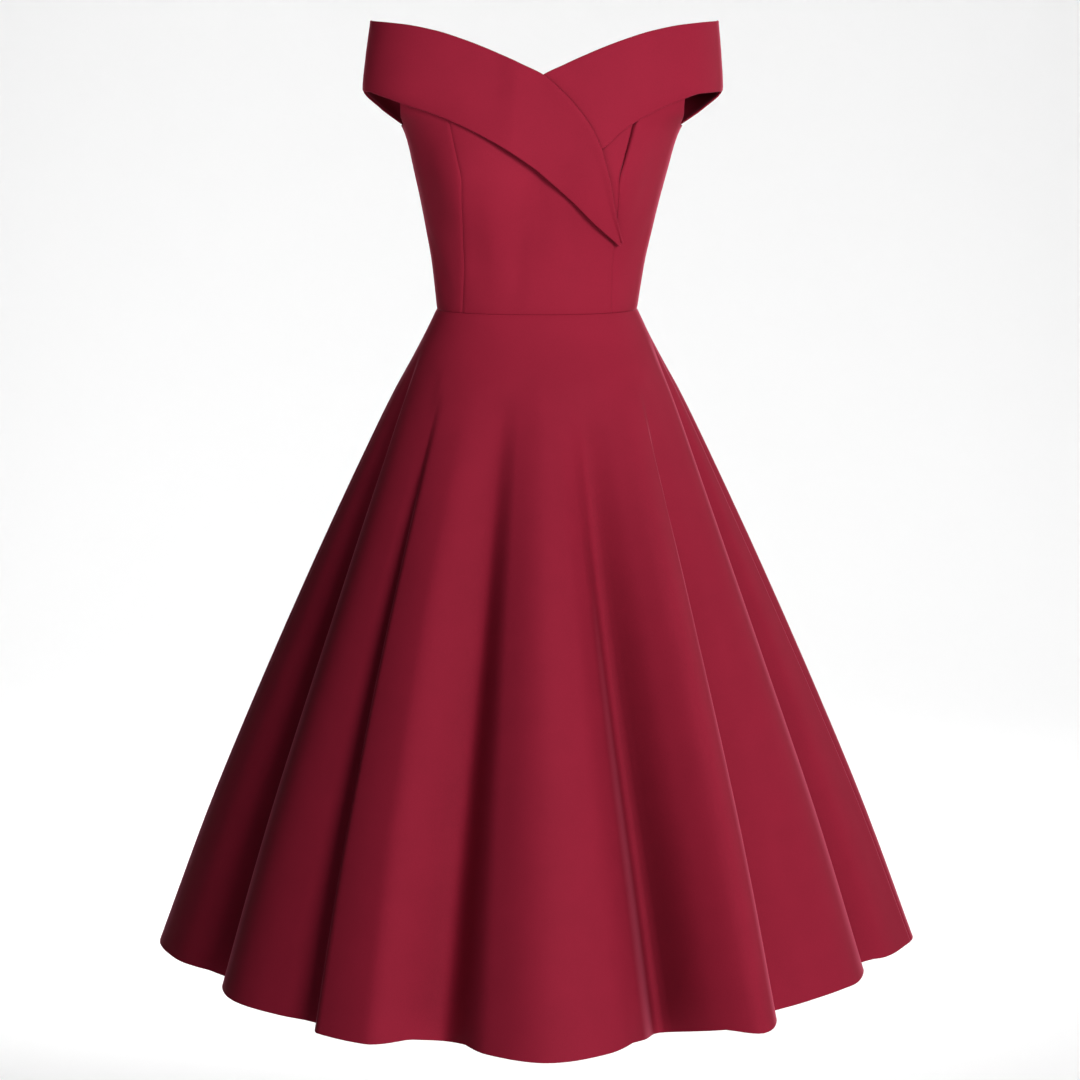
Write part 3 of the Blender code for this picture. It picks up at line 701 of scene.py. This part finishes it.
# Low waves along the outer collar's lower edge.
WAVE_COLUMNS = ("angle", "spread", "rise")
LOWEST_WAVE = -0.0002
EDGE_WAVES = (
    (64.0, 6.0, 0.0008),
    (44.0, 9.0, -0.0006),
    (24.0, 7.0, 0.0009),
    (10.0, 5.0, -0.0007),
    (-4.0, 7.0, 0.0010),
    (-24.0, 8.0, -0.0005),
    (-38.0, 6.0, 0.0008),
    (104.0, 8.0, 0.0008),
    (128.0, 12.0, 0.0006),
    (156.0, 10.0, 0.0009),
)


def collar_lift(angle, share_down, side_lift):
    spread = math.exp(-((angle - COLLAR_LIFT_ANGLE) / COLLAR_LIFT_SPREAD) ** 2)
    return side_lift * spread * share_down ** COLLAR_LIFT_CURVE


def edge_wave(angle, share_down):
    rise = sum(row[2] * math.exp(-((angle - row[0]) / row[1]) ** 2) for row in EDGE_WAVES)
    return max(rise, LOWEST_WAVE) * share_down ** 2


FREE_EDGE_RISE = 0.0018
FREE_EDGE_REACH = 0.14
FREE_EDGE_START = 4.0
FREE_EDGE_RAMP = 12.0


def free_edge_rise(angle, share_up):
    """Lift of the outer collar's free edge past the point of the neckline."""
    past = smooth_step((FREE_EDGE_START - angle) / FREE_EDGE_RAMP)
    return FREE_EDGE_RISE * past * math.exp(-((1.0 - share_up) / FREE_EDGE_REACH) ** 2)


def collar_places(front_lower, front_top):
    """Lower and upper places of a collar from the back centre round to its front end."""
    lower = [Curve(tuple(reversed(BACK_COLLAR_LOWER_EDGE))), Curve(front_lower)]
    upper = [Curve(tuple(reversed(BACK_NECKLINE))), Curve(front_top)]
    places = []
    for k in range(COLLAR_BACK_COLUMNS):
        t = k / COLLAR_BACK_COLUMNS
        places.append((lower[0].at(t), upper[0].at(t)))
    for k in range(COLLAR_FRONT_COLUMNS + 1):
        t = k / COLLAR_FRONT_COLUMNS
        places.append((lower[1].at(t), upper[1].at(t)))
    return places


def collar_shell(name, front_lower, front_top, side, crossing, lift):
    """Turned collar moved out from the bodice, a layer higher where it crosses the other one."""
    places = collar_places(front_lower, front_top)
    lines = []
    full = COLLAR_WALL + LAYER_GAP + LAYER_GAP_SPREAD
    for j in range(COLLAR_ROWS + 1):
        v = j / COLLAR_ROWS
        line = []
        for index, (low, high) in enumerate(places):
            angle = low[0] + (high[0] - low[0]) * v
            height = low[1] + (high[1] - low[1]) * v
            if index == 0:
                angle = 180.0 - math.degrees(ZIP_HALF_SLIT / body_radius(BODICE_SECTIONS, 180.0, height))
            out = LAYER_GAP + LAYER_GAP_SPREAD * (1.0 - v) + COLLAR_WALL
            if crossing:
                out += full * smooth_step((CROSSING_START - angle) / CROSSING_RAMP)
                out += edge_wave(angle, 1.0 - v) + free_edge_rise(angle, v)
            out += collar_lift(angle, 1.0 - v, lift)
            line.append(tuple(moved_out(bodice_surface, angle * side, height, out)))
        lines.append(line[::-1] if side > 0 else line)
    return cloth_shell(name, lines, COLLAR_WALL, COLLAR_WALL / 2, COLLAR_RIM_STEPS)


def build_collars():
    front = tuple(reversed(FRONT_NECKLINE))
    over = collar_shell("over_collar_cloth", OVER_COLLAR_LOWER_EDGE, front + OVER_COLLAR_FREE_EDGE[1:],
                        -1, True, COLLAR_LIFT)
    under = collar_shell("under_collar_cloth", UNDER_COLLAR_LOWER_EDGE, front + UNDER_COLLAR_FREE_EDGE[1:],
                         1, False, 0.0)
    return {"collar_over_right": over, "collar_under_left": under}


ZIP_TAPE_WIDTH = 0.0240
ZIP_TAPE_WALL = 0.0008
ZIP_TAPE_DEPTH = 0.0021
ZIP_WAIST_EASE = 0.0010
ZIP_WAIST_REACH = 0.0060
ZIP_TAPE_ROWS = 150
ZIP_TAPE_COLUMNS = 12
TOOTH_PITCH = 0.0015
TOOTH_HALF_WIDTH = 0.0012
TOOTH_HALF_HEIGHT = 0.0005
TOOTH_HALF_DEPTH = 0.00033
TOOTH_OUT = 0.00040
TOOTH_STAGGER = 0.0003
# Shares of the half width across a tooth, and of its full thickness there.
TOOTH_STATIONS = ((-1.0, 0.45), (-0.75, 1.0), (0.75, 1.0), (1.0, 0.45))
TOOTH_SIDES = 8


def zip_point(across, height, out):
    """Point on the closed tape's outer face, or out from it, behind the back centre."""
    surface = bodice_surface if height >= 0.0 else skirt_surface
    sections = BODICE_SECTIONS if height >= 0.0 else SKIRT_SECTIONS
    ease = ZIP_WAIST_EASE * math.exp(-(height / ZIP_WAIST_REACH) ** 2)
    turn = math.degrees(across / body_radius(sections, 180.0, height))
    return moved_out(surface, 180.0 - turn, height, out - ZIP_TAPE_DEPTH - ease)


def zip_tape():
    """Woven tape of the closed zip."""
    lines = []
    for j in range(ZIP_TAPE_ROWS + 1):
        height = ZIP_BOTTOM + (ZIP_TOP - ZIP_BOTTOM) * j / ZIP_TAPE_ROWS
        lines.append([tuple(zip_point(ZIP_TAPE_WIDTH * (0.5 - i / ZIP_TAPE_COLUMNS), height, 0.0))
                      for i in range(ZIP_TAPE_COLUMNS + 1)])
    return cloth_shell("zip_tape_cloth", lines, ZIP_TAPE_WALL, ZIP_TAPE_WALL / 2)


def zip_teeth():
    """Coil teeth down the middle of the tape, seen through the slit."""
    vertices = []
    faces = []
    count = int((ZIP_TOP - ZIP_BOTTOM) / TOOTH_PITCH)
    for tooth in range(count):
        height = ZIP_BOTTOM + TOOTH_PITCH * (tooth + 0.5)
        shift = TOOTH_STAGGER * (-1) ** tooth
        first = len(vertices)
        for across, size in TOOTH_STATIONS:
            for k in range(TOOTH_SIDES):
                turn = 2 * math.pi * k / TOOTH_SIDES
                up = TOOTH_HALF_HEIGHT * size * math.cos(turn)
                out = TOOTH_OUT + TOOTH_HALF_DEPTH * size * math.sin(turn)
                vertices.append(tuple(zip_point(TOOTH_HALF_WIDTH * across + shift, height + up, out)))
        for ring in range(len(TOOTH_STATIONS) - 1):
            start = first + ring * TOOTH_SIDES
            for k in range(TOOTH_SIDES):
                following = (k + 1) % TOOTH_SIDES
                faces.append((start + k, start + TOOTH_SIDES + k,
                              start + TOOTH_SIDES + following, start + following))
        last = first + (len(TOOTH_STATIONS) - 1) * TOOTH_SIDES
        faces.append(tuple(first + k for k in range(TOOTH_SIDES)))
        faces.append(tuple(last + k for k in reversed(range(TOOTH_SIDES))))
    mesh = bpy.data.meshes.new("zip_teeth")
    mesh.from_pydata(vertices, [], faces)
    mesh.update()
    mesh.shade_smooth()
    part = bpy.data.objects.new("zip_teeth", mesh)
    bpy.context.scene.collection.objects.link(part)
    return part


def new_material(name):
    """A material with its node tree's nodes and links, and its shader."""
    material = bpy.data.materials.new(name)
    material.use_nodes = True
    nodes = material.node_tree.nodes
    return material, nodes, material.node_tree.links, nodes["Principled BSDF"]


def colour_band(nodes, colour, low, high, start=0.0, end=1.0):
    """Ramp from a darker to a lighter shade of one colour."""
    band = nodes.new("ShaderNodeValToRGB")
    for element, position, share in zip(band.color_ramp.elements, (start, end), (low, high)):
        element.position = position
        element.color = tuple(share * channel for channel in colour) + (1.0,)
    return band


def bump_from(nodes, links, height, strength, distance):
    """Bump read from a height, ready for a shader's normal."""
    bump = nodes.new("ShaderNodeBump")
    bump.inputs["Strength"].default_value = strength
    bump.inputs["Distance"].default_value = distance
    links.new(height, bump.inputs["Height"])
    return bump


def woven_material(name, colour):
    """Herringbone tape: fine slanted ribs over a slightly mottled colour."""
    material, nodes, links, shader = new_material(name)
    shader.inputs["Roughness"].default_value = 0.85
    shader.inputs["Specular IOR Level"].default_value = 0.15
    place_node = nodes.new("ShaderNodeTexCoord")
    ribs = nodes.new("ShaderNodeTexWave")
    ribs.bands_direction = "DIAGONAL"
    ribs.inputs["Scale"].default_value = 520.0
    ribs.inputs["Distortion"].default_value = 0.6
    links.new(place_node.outputs["Object"], ribs.inputs["Vector"])
    tone = colour_band(nodes, colour, low=0.82, high=1.08)
    links.new(ribs.outputs["Fac"], tone.inputs["Fac"])
    links.new(tone.outputs["Color"], shader.inputs["Base Color"])
    bump = bump_from(nodes, links, ribs.outputs["Fac"], strength=0.3, distance=0.0003)
    links.new(bump.outputs["Normal"], shader.inputs["Normal"])
    return material


def moulded_material(name, colour, roughness, metallic, edge_radius):
    """Enamel or nylon: slight orange-peel, uneven gloss, and edges softened by a small radius."""
    material, nodes, links, shader = new_material(name)
    shader.inputs["Metallic"].default_value = metallic
    place_node = nodes.new("ShaderNodeTexCoord")
    mottle = nodes.new("ShaderNodeTexNoise")
    mottle.inputs["Scale"].default_value = 420.0
    mottle.inputs["Detail"].default_value = 3.0
    links.new(place_node.outputs["Object"], mottle.inputs["Vector"])
    tone = colour_band(nodes, colour, low=0.86, high=1.10, start=0.35, end=0.65)
    links.new(mottle.outputs["Fac"], tone.inputs["Fac"])
    links.new(tone.outputs["Color"], shader.inputs["Base Color"])
    gloss = nodes.new("ShaderNodeMapRange")
    gloss.inputs["To Min"].default_value = 0.85 * roughness
    gloss.inputs["To Max"].default_value = 1.20 * roughness
    links.new(mottle.outputs["Fac"], gloss.inputs["Value"])
    links.new(gloss.outputs["Result"], shader.inputs["Roughness"])
    soft_edge = nodes.new("ShaderNodeBevel")
    soft_edge.inputs["Radius"].default_value = edge_radius
    bump = bump_from(nodes, links, mottle.outputs["Fac"], strength=0.08, distance=0.0001)
    links.new(soft_edge.outputs["Normal"], bump.inputs["Normal"])
    links.new(bump.outputs["Normal"], shader.inputs["Normal"])
    return material


TAPE_COLOUR = (0.210, 0.014, 0.028)
TOOTH_COLOUR = (0.190, 0.012, 0.025)
ENAMEL_COLOUR = (0.240, 0.015, 0.030)
ENAMEL_ROUGHNESS = 0.30
ENAMEL_METALLIC = 0.25
ENAMEL_EDGE = 0.0003
NYLON_ROUGHNESS = 0.45
NYLON_METALLIC = 0.0
NYLON_EDGE = 0.0001


def zip_pieces():
    """Tape and teeth attached to the dress body, with the closed tape's own solid hidden; the slider and
    the pull keep their own solids.
    """
    tape = zip_tape()
    tape.data.materials.append(woven_material("zip_tape_weave", TAPE_COLOUR))
    teeth = zip_teeth()
    nylon = moulded_material("zip_teeth_nylon", TOOTH_COLOUR, NYLON_ROUGHNESS, NYLON_METALLIC, NYLON_EDGE)
    teeth.data.materials.append(nylon)
    for piece in (tape, teeth):
        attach(piece, "dress")
        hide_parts("zip_tape")
    for node in ("zip_slider", "zip_pull"):
        enamel = moulded_material(node + "_enamel", ENAMEL_COLOUR, ENAMEL_ROUGHNESS, ENAMEL_METALLIC,
                                  ENAMEL_EDGE)
        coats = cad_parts[node].data.materials
        coats.clear()
        coats.append(enamel)


CREPE_COLOUR = (0.315, 0.0145, 0.038)
# Colour of the painted sheen mixed into the base colour where the cloth turns edge-on.
PAINTED_SHEEN_COLOUR = (0.66, 0.100, 0.170)
SHEEN_TINT = (1.0, 0.26, 0.38, 1.0)
GRAIN_SHIFT = 1.7
GRAIN_DIRECTION = (1.0, 0.37, 0.71)


def painted_edge_sheen(nodes, links, colour):
    """Painted sheen: lighter, pinker base colour where the cloth turns edge-on, standing in for the light
    its nap catches.
    """
    edge_on = nodes.new("ShaderNodeLayerWeight")
    edge_on.inputs["Blend"].default_value = 0.42
    edge_share = nodes.new("ShaderNodeMapRange")
    edge_share.interpolation_type = "SMOOTHSTEP"
    edge_share.inputs["From Min"].default_value = 0.60
    edge_share.inputs["From Max"].default_value = 0.97
    edge_share.inputs["To Max"].default_value = 0.85
    links.new(edge_on.outputs["Facing"], edge_share.inputs["Value"])
    painted_sheen = nodes.new("ShaderNodeMixRGB")
    painted_sheen.inputs["Color2"].default_value = PAINTED_SHEEN_COLOUR + (1.0,)
    links.new(edge_share.outputs["Result"], painted_sheen.inputs["Fac"])
    links.new(colour, painted_sheen.inputs["Color1"])
    return painted_sheen


def painted_fold_shade(nodes, links, colour):
    """Painted shade: darker base colour down in the folds, from ambient occlusion multiplied into it."""
    fold_occlusion = nodes.new("ShaderNodeAmbientOcclusion")
    fold_occlusion.inputs["Distance"].default_value = 0.16
    fold_occlusion.samples = 6
    shade = nodes.new("ShaderNodeMapRange")
    shade.inputs["From Min"].default_value = 0.30
    shade.inputs["From Max"].default_value = 0.80
    shade.inputs["To Min"].default_value = 0.52
    links.new(fold_occlusion.outputs["AO"], shade.inputs["Value"])
    fold_shaded_colour = nodes.new("ShaderNodeMixRGB")
    fold_shaded_colour.blend_type = "MULTIPLY"
    fold_shaded_colour.inputs["Fac"].default_value = 1.0
    links.new(colour, fold_shaded_colour.inputs["Color1"])
    links.new(shade.outputs["Result"], fold_shaded_colour.inputs["Color2"])
    return fold_shaded_colour


def crepe_material(name, colour, grain_seed):
    """Smooth crepe: fine pebbled grain, slight colour variation, a soft pink sheen, painted sheen at the
    edges and painted shade in the folds.
    """
    material, nodes, links, shader = new_material(name)
    shader.inputs["Roughness"].default_value = 0.78
    shader.inputs["Specular IOR Level"].default_value = 0.08
    shader.inputs["Sheen Weight"].default_value = 0.34
    shader.inputs["Sheen Roughness"].default_value = 0.15
    shader.inputs["Sheen Tint"].default_value = SHEEN_TINT
    place_node = nodes.new("ShaderNodeTexCoord")
    shift = nodes.new("ShaderNodeMapping")
    shift.inputs["Location"].default_value = [grain_seed * share for share in GRAIN_DIRECTION]
    links.new(place_node.outputs["Object"], shift.inputs["Vector"])
    blotch = nodes.new("ShaderNodeTexNoise")
    blotch.inputs["Scale"].default_value = 26.0
    blotch.inputs["Detail"].default_value = 4.0
    links.new(shift.outputs["Vector"], blotch.inputs["Vector"])
    grain = nodes.new("ShaderNodeTexNoise")
    grain.inputs["Scale"].default_value = 900.0
    grain.inputs["Detail"].default_value = 3.0
    links.new(shift.outputs["Vector"], grain.inputs["Vector"])
    tone = colour_band(nodes, colour, low=0.97, high=1.03, start=0.3, end=0.7)
    links.new(blotch.outputs["Fac"], tone.inputs["Fac"])
    fleck = nodes.new("ShaderNodeMixRGB")
    fleck.blend_type = "MULTIPLY"
    fleck.inputs["Fac"].default_value = 0.25
    links.new(tone.outputs["Color"], fleck.inputs["Color1"])
    links.new(grain.outputs["Fac"], fleck.inputs["Color2"])
    # Painted sheen: a lighter, pinker base colour where the cloth turns edge-on.
    painted_sheen = painted_edge_sheen(nodes, links, fleck.outputs["Color"])
    # Painted shade: ambient occlusion darkens the base colour in the folds.
    fold_shaded_colour = painted_fold_shade(nodes, links, painted_sheen.outputs["Color"])
    links.new(fold_shaded_colour.outputs["Color"], shader.inputs["Base Color"])
    bump = bump_from(nodes, links, grain.outputs["Fac"], strength=0.18, distance=0.0004)
    links.new(bump.outputs["Normal"], shader.inputs["Normal"])
    return material


def dress_pieces():
    """Every cloth piece, attached to the dress body, with the CAD node that it stands for hidden."""
    made = build_bodice()
    made["skirt_front"] = skirt_shell("skirt_front_cloth", -90.0, 90.0, None)
    made["skirt_back_left"] = skirt_shell("skirt_back_left_cloth", 90.0, 180.0, "last")
    made["skirt_back_right"] = skirt_shell("skirt_back_right_cloth", -180.0, -90.0, "first")
    made.update(build_collars())
    for index, (node, piece) in enumerate(made.items()):
        crepe = crepe_material(piece.name + "_crepe", CREPE_COLOUR, GRAIN_SHIFT * index)
        piece.data.materials.append(crepe)
        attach(piece, "dress")
        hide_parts(node)
    return made


# Columns for a flat cut of each piece: width and length of its pattern, and the area of the cut. No rows
# are given.
CUT_COLUMNS = ("node", "width", "length", "area")


FLOOR_HEIGHT = -1.45
SWEEP_FRONT = -7.0
SWEEP_TOP = 5.0
SWEEP_HALF_WIDTH = 9.0
SWEEP_START = 4.3
SWEEP_RADIUS = 2.2
SWEEP_STEPS = 16
PAPER_COLOUR = (0.93, 0.93, 0.93, 1.0)


def studio():
    """Pale sweep: a floor that curves up into a wall behind the dress."""
    profile = [(SWEEP_FRONT, FLOOR_HEIGHT), (SWEEP_START, FLOOR_HEIGHT)]
    for k in range(1, SWEEP_STEPS + 1):
        turn = math.pi / 2 * k / SWEEP_STEPS
        profile.append((SWEEP_START + SWEEP_RADIUS * math.sin(turn),
                        FLOOR_HEIGHT + SWEEP_RADIUS * (1 - math.cos(turn))))
    profile.append((SWEEP_START + SWEEP_RADIUS, SWEEP_TOP))
    vertices = [(x, y, z) for y, z in profile for x in (-SWEEP_HALF_WIDTH, SWEEP_HALF_WIDTH)]
    faces = [(2 * k, 2 * k + 1, 2 * k + 3, 2 * k + 2) for k in range(len(profile) - 1)]
    mesh = bpy.data.meshes.new("sweep")
    mesh.from_pydata(vertices, [], faces)
    mesh.shade_smooth()
    sweep = bpy.data.objects.new("sweep", mesh)
    bpy.context.scene.collection.objects.link(sweep)
    material, _, _, shader = new_material("sweep_paper")
    shader.inputs["Base Color"].default_value = PAPER_COLOUR
    shader.inputs["Roughness"].default_value = 0.9
    mesh.materials.append(material)


LIGHT_COLUMNS = ("name", "x", "y", "z", "aim_x", "aim_y", "aim_z", "size", "power", "spread")
LIGHTS = (
    ("key", 1.75, -3.2, 1.1, 0.0, 0.0, -0.25, 1.5, 126.0, 180.0),
    ("rim", 2.56, 1.36, 0.55, 0.0, 0.0, -0.25, 1.2, 24.0, 180.0),
    ("fill", -1.0, -4.2, 1.0, 0.0, 0.0, -0.25, 1.5, 4.0, 180.0),
    ("backdrop_left", -2.1, 3.2, 1.6, -0.9, 5.2, -1.2, 1.8, 57.0, 150.0),
    ("backdrop_right", 2.1, 3.2, 1.6, 0.9, 5.2, -1.2, 1.8, 54.0, 150.0),
    ("floor", -0.4, 2.4, 1.6, -0.4, 2.2, -1.45, 1.6, 17.5, 80.0),
)
SPOT_RADIUS = 0.25
SPOT_COLUMNS = ("name", "x", "y", "z", "aim_x", "aim_y", "aim_z", "cone", "power")
SPOTS = (
    ("collar_light", -1.7, -2.8, 0.9, -0.15, -0.08, 0.19, 13.0, 150.0),
    ("bodice_light", 1.9, -2.6, 0.8, 0.17, -0.06, 0.17, 9.0, 110.0),
)
WORLD_STRENGTH = 0.03


def add_lamp(light, place, aim):
    """Put a light in the scene at a place, pointed at another."""
    lamp = bpy.data.objects.new(light.name, light)
    bpy.context.scene.collection.objects.link(lamp)
    lamp.location = place
    lamp.rotation_euler = (Vector(aim) - lamp.location).to_track_quat("-Z", "Y").to_euler()


def add_lights():
    """Key from the front right, a low fill, a rim behind, spots on the bodice, and the backdrop's own."""
    for name, x, y, z, aim_x, aim_y, aim_z, size, power, spread in LIGHTS:
        light = bpy.data.lights.new(name, "AREA")
        light.shape = "DISK"
        light.size = size
        light.energy = power
        light.spread = math.radians(spread)
        add_lamp(light, (x, y, z), (aim_x, aim_y, aim_z))
    for name, x, y, z, aim_x, aim_y, aim_z, cone, power in SPOTS:
        spot = bpy.data.lights.new(name, "SPOT")
        spot.energy = power
        spot.spot_size = math.radians(cone)
        spot.spot_blend = 1.0
        spot.shadow_soft_size = SPOT_RADIUS
        add_lamp(spot, (x, y, z), (aim_x, aim_y, aim_z))


def add_world():
    """Weak even light from all round, and colours shown as they are."""
    world = bpy.data.worlds.new("studio")
    world.use_nodes = True
    background = world.node_tree.nodes["Background"]
    background.inputs["Color"].default_value = (1.0, 1.0, 1.0, 1.0)
    background.inputs["Strength"].default_value = WORLD_STRENGTH
    bpy.context.scene.world = world
    bpy.context.scene.view_settings.view_transform = "Standard"


CAMERA_PLACE = (0.0036, -4.0, 0.37)
CAMERA_PITCH = 9.26
CAMERA_LENS = 111.3
CAMERA_SENSOR = 36.0


def add_camera():
    camera = bpy.data.cameras.new("camera")
    camera.lens = CAMERA_LENS
    camera.sensor_width = CAMERA_SENSOR
    camera.sensor_fit = "HORIZONTAL"
    view = bpy.data.objects.new("camera", camera)
    view.location = CAMERA_PLACE
    view.rotation_euler = (math.radians(90.0 - CAMERA_PITCH), 0.0, 0.0)
    bpy.context.scene.collection.objects.link(view)
    bpy.context.scene.camera = view


made = dress_pieces()
zip_pieces()
studio()
add_lights()
add_world()
add_camera()
